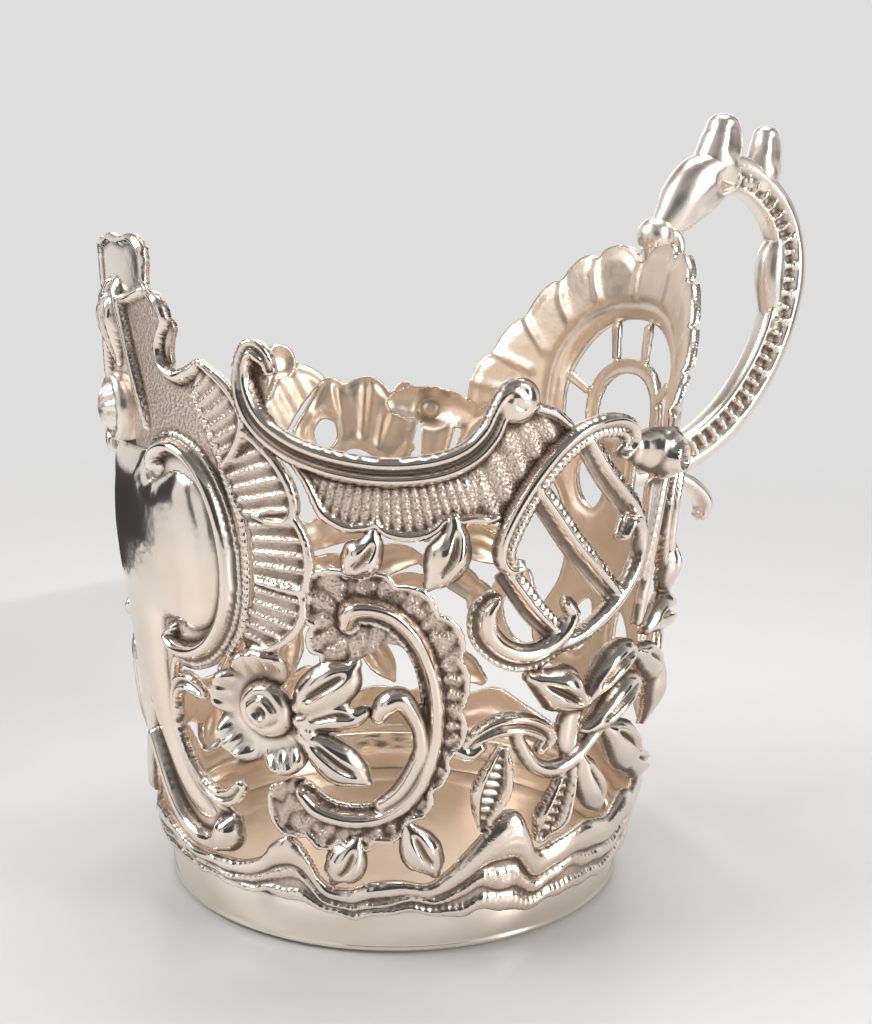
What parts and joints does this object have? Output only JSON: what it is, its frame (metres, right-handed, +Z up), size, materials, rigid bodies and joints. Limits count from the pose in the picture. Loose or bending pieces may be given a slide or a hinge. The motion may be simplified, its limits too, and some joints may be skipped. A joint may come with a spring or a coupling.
{
  "type": "tea glass holder",
  "caption": "Silver tea glass holder: a plain foot with a bottom plate, a pierced rocaille wall with scrolls, flowers and a bare shield, and a cast scroll handle.",
  "frame": {"origin": "centre of the bottom plate's underside, on the table", "axes": "+Z up along the cup axis, +X toward the handle, -Y toward the side with the lattice"},
  "size_m": [0.1155, 0.0838, 0.1119],
  "materials": {
    "silver_polished": "polished, worn bright on the high places",
    "silver_matt": "matt, stippled grounds with dark recesses"
  },
  "bodies": {
    "root": {"bottom_plate": "silver_matt", "foot_band": "silver_polished", "wave_border": "silver_polished", "cartouche_panel": "silver_polished", "cartouche_shield": "silver_polished", "apron_ridge": "silver_polished", "near_cartouche_frame": "silver_polished", "far_cartouche_frame": "silver_polished", "near_side_scroll": "silver_polished", "far_side_scroll": "silver_polished", "near_cartouche_fan": "silver_matt", "far_cartouche_fan": "silver_matt", "front_crest": "silver_polished", "crest_boss": "silver_polished", "near_rim_fan": "silver_matt", "far_rim_fan": "silver_matt", "near_rim_scroll": "silver_polished", "far_rim_scroll": "silver_polished", "near_medallion_plate": "silver_matt", "far_medallion_plate": "silver_matt", "near_medallion_scroll": "silver_polished", "far_medallion_scroll": "silver_polished", "near_flower": "silver_polished", "far_flower": "silver_polished", "flower_eyes": "silver_polished", "near_buds": "silver_polished", "far_buds": "silver_polished", "near_lattice": "silver_polished", "far_shell": "silver_matt", "near_volute": "silver_polished", "far_volute": "silver_polished", "near_vine": "silver_polished", "far_vine": "silver_polished", "back_arch": "silver_matt", "arch_ring": "silver_matt", "arch_spokes": "silver_matt", "handle_plate": "silver_matt", "handle_bow": "silver_polished", "handle_knob": "silver_polished", "thumb_rest": "silver_polished", "handle_curl": "silver_polished"}
  },
  "joints": []
}
